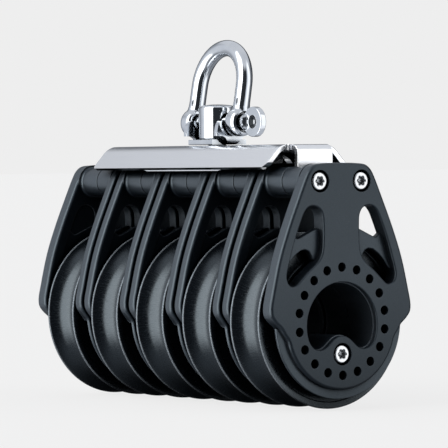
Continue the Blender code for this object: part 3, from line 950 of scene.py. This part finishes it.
def through_bolt():
    """A round-headed bolt along the whole row, its head at -y and its thread at +y."""
    top, tip = -ROW_END + 0.3, ROW_END - 0.6
    flat = BOLT_HEAD_R - BOLT_HEAD_ROUND
    profile = [(0, top), (flat, top)]
    profile += [
        (flat + BOLT_HEAD_ROUND * math.sin(a), top + BOLT_HEAD_ROUND * (1 - math.cos(a)))
        for a in (0.3, 0.6, 0.9, 1.2, 1.57)
    ]
    profile += [
        (BOLT_HEAD_R, -SEAT - 0.5), (BOLT_HEAD_R - 0.2, -SEAT - 0.3),
        (BOLT_R + 0.15, -SEAT - 0.3), (BOLT_R, -SEAT - 0.15), (BOLT_R, tip - 7.4),
    ]
    root = BOLT_R - 0.32
    one_turn = [(root, 0.3), (root, 0.38), (BOLT_R, 0.66)]
    profile += thread(one_turn, start=tip - 7.4, stop=tip - 0.9, pitch=0.7)
    profile += [(BOLT_R - 0.45, tip), (0, tip)]
    socket = [
        (0.25, -ROW_END - 1), (0.25, top), (0, -ROW_END + 0.5), (0, -ROW_END + 1.7),
        (-0.8, -ROW_END + 2.2),
    ]
    bolt = turned("bolt", profile, 40)
    return tidy(cut(bolt, loft("socket", lobed(radius=1.42, depth=0.2), socket)))


def hex_nut(corner_r, low, high, bore, axis="Y"):
    """A hexagon with chamfered corners, bored through."""
    outline = rounded(circle(0, 0, corner_r, 6, math.pi / 6), 0.25, 2)
    nut = loft("nut", outline, edge(low, high, 0.08, 0.08, 2), axis)
    face_r, side_r = corner_r * 0.9, corner_r * 1.02
    common(nut, turned("chamfer", [
        (0, low - 0.01), (face_r, low - 0.01), (side_r, low + 0.35),
        (side_r, high - 0.35), (face_r, high + 0.01), (0, high + 0.01),
    ], 48, axis))
    return tidy(cut(nut, turned("bore", [
        (0, low - 1), (bore + 0.3, low - 1), (bore + 0.3, low), (bore, low + 0.3),
        (bore, high - 0.3), (bore + 0.3, high), (bore + 0.3, high + 1), (0, high + 1),
    ], 40, axis)))


def build_bolts():
    bolt = through_bolt()
    nut = hex_nut(3.3, SEAT + 0.3, SEAT + 2.6, BOLT_R + 0.1)
    spots = (("head_left", -HEAD_X, HEAD_Z), ("head_right", HEAD_X, HEAD_Z), ("hub", 0, HUB_BOLT_Z))
    for place, x, z in spots:
        for part, name, node in ((bolt, "screw", "bolt"), (nut, "locknut", "nut")):
            settle(duplicate(part), f"{place}_{name}", f"{place}_{node}", SCREW,
                   at=(x, 0, z), sharp=34)
    remove(bolt, nut)


build_bolts()

# ---- saddle and doubler -----------------------------------------------------------
TAB_X = 7.05  # half the width of a folded tab
FOLD_DROP = 0.02  # the fold lies this far under the sheet's top
TAB_LOW = 44.0


def thickened(run, thick, x_share=1, z_share=1):
    """An open run of points closed by its own offset; the shares scale it in x and z."""
    inner = []
    for i, spot in enumerate(run):
        before, after = Vector(run[max(i - 1, 0)]), Vector(run[min(i + 1, len(run) - 1)])
        along = (after - before).normalized()
        inner.append((
            spot[0] - along.y * thick * x_share,
            spot[1] + along.x * thick * z_share,
        ))
    return run + inner[::-1]


def corner_cutter(y, z, radius):
    """What a rounded lower corner leaves off at (y, z)."""
    sign = 1 if y > 0 else -1
    loop = [(y + sign * 2, z - 2), (y - sign * radius, z - 2)]
    for degrees in range(0, 91, 15):
        a = math.radians(degrees)
        loop.append((
            y - sign * radius + sign * radius * math.sin(a), z + radius - radius * math.cos(a)
        ))
    return prism("corner", loop + [(y + sign * 2, z + radius)], -30, 30, "X")


def tab_strip(sign, top, thick, half, mid, fold):
    """The (y, z) section of an end tab folded down from the top sheet."""

    def bend(radius, angles):
        return [
            (
                mid + sign * (thick / 2 - fold + radius * math.sin(a)),
                top - FOLD_DROP - fold + radius * math.cos(a),
            )
            for a in angles
        ]

    root = sign * (half - 4.0)
    return (
        [(root, top - FOLD_DROP)] + bend(fold, quarter(8))
        + [(mid + sign * thick / 2, TAB_LOW), (mid - sign * thick / 2, TAB_LOW)]
        + bend(fold - thick, quarter_back(6)) + [(root, top - thick + FOLD_DROP)]
    )


def folded(name, top, thick, top_x, low_x, low_z, half, tab_y, bend, fold, ease, trim, trim_y):
    """A flared inverted channel with a folded, bolted tab at each end.

    bend and fold are the radii along the sides and at the tabs, ease that of the lower corners;
    trim is the (x, z) outline cut off the +x side, and mirrored off the other.
    """
    section = rounded(
        [(low_x, low_z), (top_x, top), (-top_x, top), (-low_x, low_z)], bend, 10, False
    )
    body = loft(name, thickened(section, thick), edge(-half, half, 0.3, 0.3, 3))
    cut(body, *[corner_cutter(sign * half, low_z - 0.1, ease) for sign in (1, -1)])
    for sign in (-1, 1):
        mid = tab_y * sign
        strip = tab_strip(sign, top, thick, half, mid, fold)
        join(body, loft("tab", strip, edge(-TAB_X, TAB_X, 0.22, 0.22, 3), "X"))
        ear = stadium(3.15, 12)
        join(body, prism("ear", ear, mid - thick / 2 + 0.03, mid + thick / 2 - 0.03))
        cut(body, fused(*[
            drum("hole", BOLT_HOLE_R, mid - 3, mid + 3, 32, at=(x, HEAD_Z))
            for x in (HEAD_X, -HEAD_X)
        ]))
        # bend reliefs beside the tab
        cut(body, fused(*[
            drum("relief", 0.8, top - 6, top + 2, 20, "Z", at=(x, sign * half))
            for x in (TAB_X + 0.65, -TAB_X - 0.65)
        ]))
    tidy(cut(body, drum("stud", STUD_HOLE_R, 40, 70, 40, "Z")))
    for side in (1, -1):
        cut(body, prism("trim", [(x * side, z) for x, z in trim], -trim_y, trim_y))
    return tidy(body)


saddle = folded(
    "saddle", top=SADDLE_TOP, thick=1.9, top_x=10.5, low_x=17.3, low_z=49.8, half=50.0,
    tab_y=2 * BLOCK_PITCH, bend=7.4, fold=3.0, ease=1.7,
    trim=[(12.5, 44.0), (19.0, 44.0), (19.0, 49.05), (12.5, 49.05)], trim_y=60,
)
settle(saddle, "saddle_sheet", "saddle", SHEET)
doubler = folded(
    "doubler", top=54.8, thick=1.5, top_x=8.6, low_x=15.3, low_z=48.9, half=25.5,
    tab_y=BLOCK_PITCH, bend=5.0, fold=2.6, ease=4.6,
    trim=[(11.0, 44.0), (18.0, 44.0), (18.0, 52.0), (14.75, 52.0), (14.6, 48.7), (11.0, 48.7)],
    trim_y=30,
)
settle(doubler, "doubler_sheet", "saddle_doubler", SHEET)

# ---- cradle, post and its nut -------------------------------------------------------
FLOOR_LOW, FLOOR_TOP = 57.4, 59.1
CRADLE_Y, CRADLE_TOP = 9.7, 66.0
POST_R, POST_TOP, POST_ROUND = 6.1, 70.9, 1.1
POST_NUT_LOW, POST_NUT_HIGH = 51.1, 53.0


def cradle_bracket():
    """A U of sheet with an ear at each end in y, notched from above for the pin."""
    corners = [
        (-CRADLE_Y, CRADLE_TOP), (-CRADLE_Y, FLOOR_LOW), (CRADLE_Y, FLOOR_LOW),
        (CRADLE_Y, CRADLE_TOP),
    ]
    section = thickened(rounded(corners, 2.1, 8, False), 1.9, x_share=0.95, z_share=0.9)
    cradle = loft("cradle", section, edge(-7.0, 7.0, 0.25, 0.25, 3), "X")
    ear = rounded(
        [(-7.2, 56.0), (7.2, 56.0), (7.0, 61.2), (6.0, 65.6), (-6.0, 65.6), (-7.0, 61.2)],
        [0, 0, 2.0, 2.6, 2.6, 2.0], 6,
    )
    common(cradle, prism("ear", ear, -14, 14))
    notch_side = [(2.9, 64.9), (3.3, 65.35), (4.2, 65.8), (4.2, 72)]
    notch = arc(0, PIN_Z, 2.9, -180, 0, 21) + mirrored(notch_side)
    cut(cradle, prism("notch", notch, -20, 20))
    # the floor narrows to a waist under each ear
    waist = [(8.5, 56.5), (8.5, 60.3), (4.7, 60.3), (3.5, 59.7), (1.5, 56.9), (1.3, 56.5)]
    for side in (1, -1):
        loop = rounded([(x * side, z) for x, z in waist], [0, 0, 0.6, 0.6, 0, 0], 4)
        for near, far in ((6.9, 12.5), (-12.5, -6.9)):
            cut(cradle, prism("relief", loop, near, far))
    return tidy(cut(cradle, drum("stud", STUD_HOLE_R, 50, 62, 40, "Z")))


def shackle_post():
    """A round post cross-bored for the pin, with a threaded stud down through the sheets."""
    profile = [
        (0, POST_TOP), (1.6, POST_TOP - 0.03), (3.2, POST_TOP - 0.13), (4.5, POST_TOP - 0.3),
    ]
    profile += [
        (POST_R - POST_ROUND + POST_ROUND * math.sin(a), POST_TOP - 1.5 + POST_ROUND * math.cos(a))
        for a in (0.25, 0.55, 0.85, 1.2, 1.57)
    ]
    profile += [
        (POST_R, FLOOR_TOP + 0.6), (POST_R - 0.1, FLOOR_TOP + 0.38),
        (POST_R - 0.3, FLOOR_TOP + 0.3), (STUD_R, FLOOR_TOP + 0.3), (STUD_R, 55.0),
    ]
    one_turn = [(STUD_R, 0), (2.68, -0.33), (2.68, -0.4), (STUD_R, -0.7)]
    profile += thread(one_turn, start=54.6, stop=51.9, pitch=-0.75)
    post = turned("post", profile + [(2.6, POST_NUT_LOW), (0, POST_NUT_LOW)], 72, "Z")
    mouth_half = [(0, -20), (3.25, -20), (3.25, -6.2), (2.85, -5.5), (PIN_HOLE_R, -5.2)]
    hole = mouth_half + [(radius, -y) for radius, y in reversed(mouth_half)]
    return tidy(cut(post, turned("pin_hole", hole, 48, at=(0, PIN_Z))))


settle(cradle_bracket(), "cradle_bracket", "shackle_cradle", POLISHED)
settle(shackle_post(), "post_body", "shackle_post", POLISHED)
post_nut = hex_nut(5.2, POST_NUT_LOW, POST_NUT_HIGH, 3.1, "Z")
settle(post_nut, "post_locknut", "post_nut", SCREW)

# ---- bow and pin, with z from the pin's axis ----------------------------------------
LEG_Y, LEG_SPREAD, BOW_RISE = 12.8, 0.05, 12.6
BAR_R = 2.75
ROUGH_BAR_R = BAR_R + 0.14  # before smoothing
EYE_IN, EYE_OUT, EYE_R = 10.0, 16.0, 4.8
CROWN_LOW = 9.0  # above this the bar is a plain sweep
LEAN = 9.5  # degrees
PIN_R, PIN_NECK_R, PIN_COLLAR_R = 2.5, 2.2, 2.9
TAB_R, TAB_HALF = 5.0, 1.12


def rough_radius(z):
    """The bar swells a little where it runs into an eye."""
    return ROUGH_BAR_R + 0.9 * max(0.0, 1 - max(z - 1.5, 0.0) / 4.0) ** 2


def leg_y(z):
    """How far a leg's centre line stands from the middle."""
    return LEG_Y + LEG_SPREAD * min(1.0, (BOW_RISE - z) / 3.1)


def bow_path(leg, radius, step):
    """(y, z, radius) up the -y leg, round the crown in steps of degrees and down the other."""
    crown = []
    for degrees in range(180, -1, -step):
        a = math.radians(degrees)
        crown.append((LEG_Y * math.cos(a), BOW_RISE + LEG_Y * math.sin(a), radius))
    return leg + crown + [(-y, z, r) for y, z, r in reversed(leg)]


def draw_round(bow):
    """Above the eyes, eases the smoothed bar back to a true round."""
    for vert in bow.data.vertices:
        spot = vert.co / MM
        hold = min(max((spot.z - 4.6) / 2.6, 0.0), 1.0)
        if hold > 0:
            if spot.z < BOW_RISE:
                centre = Vector((0, math.copysign(leg_y(spot.z), spot.y), spot.z))
            else:
                outward = Vector((0, spot.y, spot.z - BOW_RISE)).normalized()
                centre = Vector((0, 0, BOW_RISE)) + LEG_Y * outward
            true = centre + BAR_R * (spot - centre).normalized()
            vert.co = spot.lerp(true, hold * hold * (3 - 2 * hold)) * MM
    bow.data.update()


def forging_nip(face, sign):
    """An ellipsoid that dents one x face of the bar just above an eye."""
    bm = bmesh.new()
    at = Matrix.Translation(Vector((face * 2.95, sign * LEG_Y - 1.1, 6.6)) * MM)
    squash = Matrix.Diagonal((1.0, 0.75, 1.5, 1.0))
    bmesh.ops.create_uvsphere(
        bm, u_segments=20, v_segments=12, radius=0.95 * MM, matrix=at @ squash
    )
    return new_object("nip", bm)


def shackle_bow():
    """Two forged legs with eyes, and a smooth crown above them."""
    leg = [(-13.0, z, rough_radius(z)) for z in (0.6, 2.0, 3.0, 4.0)]
    leg += [(-LEG_Y - LEG_SPREAD, z, rough_radius(z)) for z in (5.2, 7.0, 9.5)]
    bow = swept("bow", bow_path(leg, ROUGH_BAR_R, step=6), 40)
    eye = circle(0, 0, EYE_R, 56)
    join(bow, loft("eye", eye, edge(-EYE_OUT, -EYE_IN, 2.0, 1.7, 7)))
    join(bow, loft("eye", eye, edge(EYE_IN, EYE_OUT, 1.7, 2.0, 7)))
    forged(bow, voxel=0.2, rounds=14)
    draw_round(bow)
    slab = [(-30, CROWN_LOW), (30, CROWN_LOW), (30, 60), (-30, 60)]
    cut(bow, prism("slab", slab, -30, 30))
    bore = [
        (0, EYE_IN - 2), (3.2, EYE_IN - 2), (3.2, EYE_IN), (PIN_HOLE_R, EYE_IN + 0.45),
        (PIN_HOLE_R, EYE_OUT - 1.9), (3.25, EYE_OUT - 1.8), (3.32, EYE_OUT - 0.7),
        (3.55, EYE_OUT - 0.2), (3.7, EYE_OUT), (3.7, EYE_OUT + 2), (0, EYE_OUT + 2),
    ]
    cut(bow, fused(*[turned("bore", [(r, y * sign) for r, y in bore], 48) for sign in (-1, 1)]))
    cut(bow, fused(*[forging_nip(face, sign) for sign in (-1, 1) for face in (-1, 1)]))
    leg = [(-leg_y(z), z, BAR_R) for z in (CROWN_LOW, 9.5, 10.4, 11.5)]
    return tidy(fused(bow, swept("crown", bow_path(leg, BAR_R, step=3), 80)))


def shackle_pin():
    """A pin threaded at +y, with a fluted collar and a bored round tab at -y."""
    profile = [(0, 15.8), (1.7, 15.8), (2.2, 15.4)]
    one_turn = [(PIN_R, 0), (2.22, -0.32), (2.22, -0.4), (PIN_R, -0.72)]
    profile += thread(one_turn, start=15.2, stop=10.5, pitch=-0.8)
    eye_face = -EYE_OUT
    profile += [
        (PIN_R, eye_face + 2.1), (PIN_NECK_R, eye_face + 1.8), (PIN_NECK_R, eye_face - 0.9),
        (2.7, eye_face - 0.95), (PIN_COLLAR_R, eye_face - 1.15),
        (PIN_COLLAR_R, eye_face - 2.35), (2.65, eye_face - 2.6), (1.9, eye_face - 3.1),
        (0, eye_face - 3.4),
    ]
    pin = turned("pin", profile, 40)
    flutes = [
        drum("flute", 0.24, eye_face - 3.0, eye_face - 0.6, 8, at=spot)
        for spot in circle_half_step(2.98, 12)
    ]
    cut(pin, fused(*flutes))
    tab = circle(PIN_TAB_Y, 0, TAB_R, 64)
    join(pin, loft("tab", tab, edge(-TAB_HALF, TAB_HALF, 0.3, 0.3, 4), "X"))
    mouth_half = [
        (0, -3), (2.5, -3), (2.5, -TAB_HALF), (2.25, -TAB_HALF + 0.08), (2.15, -TAB_HALF + 0.3),
    ]
    hole = mouth_half + [(radius, -x) for radius, x in reversed(mouth_half)]
    return tidy(cut(pin, turned("tab_hole", hole, 48, "X", at=(PIN_TAB_Y, 0))))


def circle_half_step(radius, count):
    """Points round a circle, the first half a step on."""
    angles = [2 * math.pi * (k + 0.5) / count for k in range(count)]
    return [(radius * math.cos(a), radius * math.sin(a)) for a in angles]


settle(shackle_bow(), "bow_forging", "shackle_bow", POLISHED, body="shackle_bow",
       at=(0, 0, PIN_Z), tilt=LEAN, sharp=40)
settle(shackle_pin(), "pin_forging", "shackle_pin", POLISHED, body="shackle_pin",
       at=(0, 0, PIN_Z))


# ---- floor, camera and light, in metres ---------------------------------------------
def pale_floor():
    """A mostly self-lit floor, so that it stays pale and even."""
    look = Look("pale_floor")
    look.tree.nodes.remove(look.shader)
    diffuse, glow = look.add("ShaderNodeBsdfDiffuse"), look.add("ShaderNodeEmission")
    tone = look.mix(look.noise(scale=3.0), base=(0.80, 0.80, 0.80), over=(0.82, 0.82, 0.82))
    look.link(tone, diffuse.inputs["Color"])
    glow.inputs["Color"].default_value = (0.880, 0.880, 0.880, 1)
    # polished work under the row reflects a dim table, not the pale sweep the camera sees
    strength = look.remap(look.camera_ray(), between=(0.0, 1.0), to=(0.45, 1.0))
    look.link(strength, glow.inputs["Strength"])
    glow_share = 0.90
    surface = look.mix_shader(glow_share, diffuse.outputs[0], glow.outputs[0])
    look.link(surface, look.tree.nodes["Material Output"].inputs["Surface"])
    return look.material


bm = bmesh.new()
bmesh.ops.create_grid(bm, x_segments=1, y_segments=1, size=30)
floor = new_object("floor", bm)
floor.location = (0, 0, -0.0004)
floor.data.materials.append(pale_floor())
floor.visible_glossy = False

YAW, PITCH, ROLL = math.radians(35.44), math.radians(-0.91), math.radians(-0.54)
EYE = Vector((-0.73394, -1.03468, 0.07938))


def place_camera():
    forward = Vector((
        math.sin(YAW) * math.cos(PITCH), math.cos(YAW) * math.cos(PITCH), math.sin(PITCH)
    ))
    right = Vector((math.cos(YAW), -math.sin(YAW), 0))
    up = right.cross(forward)
    side = math.cos(ROLL) * right + math.sin(ROLL) * up
    top = -math.sin(ROLL) * right + math.cos(ROLL) * up
    lens = bpy.data.cameras.new("camera")
    camera = link_new("camera", lens)
    lens.sensor_width = 36
    lens.lens = 303.308036
    lens.clip_start, lens.clip_end = 0.01, 200
    rows = [(side[i], top[i], -forward[i], EYE[i]) for i in range(3)]
    camera.matrix_world = Matrix((*rows, (0, 0, 0, 1)))
    bpy.context.scene.camera = camera


place_camera()

BRIGHT = 3.4  # radiance of the left soft box; the other walls are given on the same scale
CEILING, TABLE = (0.775, 0.795, 0.84), (0.30, 0.32, 0.35)
# (degrees round from the camera, positive to its right, then red, green, blue)
WALLS = [
    (-180, 0.13, 0.14, 0.155), (-165, 0.14, 0.15, 0.165), (-145, 0.30, 0.32, 0.35),
    (-125, 0.50, 0.525, 0.575), (-112, 0.76, 0.79, 0.85), (-94, 0.90, 0.93, 0.98),
    (-82, BRIGHT, BRIGHT, BRIGHT), (-34, BRIGHT, BRIGHT, BRIGHT), (-23, 0.03, 0.033, 0.038),
    (30, 0.03, 0.033, 0.038), (43, 0.85, 0.89, 0.95), (58, 1.45, 1.48, 1.52),
    (84, 1.6, 1.6, 1.6), (92, 0.42, 0.43, 0.46), (112, 0.16, 0.17, 0.19),
    (140, 0.05, 0.053, 0.06), (160, 0.05, 0.053, 0.06), (170, 0.12, 0.13, 0.145),
    (179, 0.13, 0.14, 0.155),
]
# (degrees, share of the extra height): the boxes stand taller than the walls
HEIGHTS = [
    (-100, 0.0), (-84, 1.0), (-30, 1.0), (-10, 0.55), (20, 0.55), (44, 0.8), (84, 0.8),
    (100, 0.0),
]
# sines of elevation: where the ceiling starts, the boxes' extra, and the width of its blend
CEILING_START, CEILING_EXTRA, CEILING_BLEND = 0.42, 0.34, 0.20


def studio():
    """A soft studio seen in reflections: two tall soft boxes with a dark gap between them at the
    camera, paler walls behind and a wide ceiling light. The camera itself sees a plain wall."""
    world = bpy.data.worlds.new("studio")
    bpy.context.scene.world = world
    world.use_nodes = True
    world.node_tree.nodes.clear()
    nodes = Nodes(world.node_tree, idle=())
    way = nodes.add("ShaderNodeTexCoord").outputs["Generated"]

    def scaled(colour):
        return tuple(channel / BRIGHT for channel in colour)

    def round_room(stops):
        """A colour ramp round the room, from (degrees, colour) stops."""
        node = nodes.add("ShaderNodeValToRGB")
        ramp = node.color_ramp
        ramp.interpolation = "EASE"
        while len(ramp.elements) < len(stops):
            ramp.elements.new(0.5)
        for element, (angle, colour) in zip(ramp.elements, stops):
            element.position = angle / 360 + 0.5
            element.color = (*colour, 1)
        nodes.link(turn, node.inputs[0])
        return node.outputs[0]

    across = nodes.dot(way, (math.cos(YAW), -math.sin(YAW), 0))
    back = nodes.dot(way, (-math.sin(YAW), -math.cos(YAW), 0))
    angle = nodes.math("ARCTAN2", across, back)
    turn = nodes.math("ADD", nodes.math("DIVIDE", angle, 2 * math.pi), 0.5)
    walls = round_room([(degrees, scaled(colour)) for degrees, *colour in WALLS])
    tall = round_room([(degrees, (share, share, share)) for degrees, share in HEIGHTS])
    start = nodes.math("ADD", nodes.times(tall, CEILING_EXTRA), CEILING_START)
    end = nodes.math("ADD", start, CEILING_BLEND)
    above = nodes.remap(nodes.dot(way, (0, 0, 1)), between=(start, end), curve="SMOOTHSTEP")
    colour = nodes.mix(above, walls, over=scaled(CEILING))
    # a dim table below the walls
    below = nodes.remap(nodes.dot(way, (0, 0, -1)), between=(0.34, 0.70), curve="SMOOTHSTEP")
    colour = nodes.mix(below, colour, over=scaled(TABLE))
    room = nodes.add("ShaderNodeBackground")
    nodes.link(colour, room.inputs[0])
    room.inputs[1].default_value = BRIGHT
    plain = nodes.add("ShaderNodeBackground")
    plain.inputs[0].default_value = (0.855, 0.855, 0.855, 1)
    surface = nodes.mix_shader(nodes.camera_ray(), room.outputs[0], plain.outputs[0])
    nodes.link(surface, nodes.add("ShaderNodeOutputWorld").inputs["Surface"])


studio()
bpy.context.scene.view_settings.view_transform = "Standard"
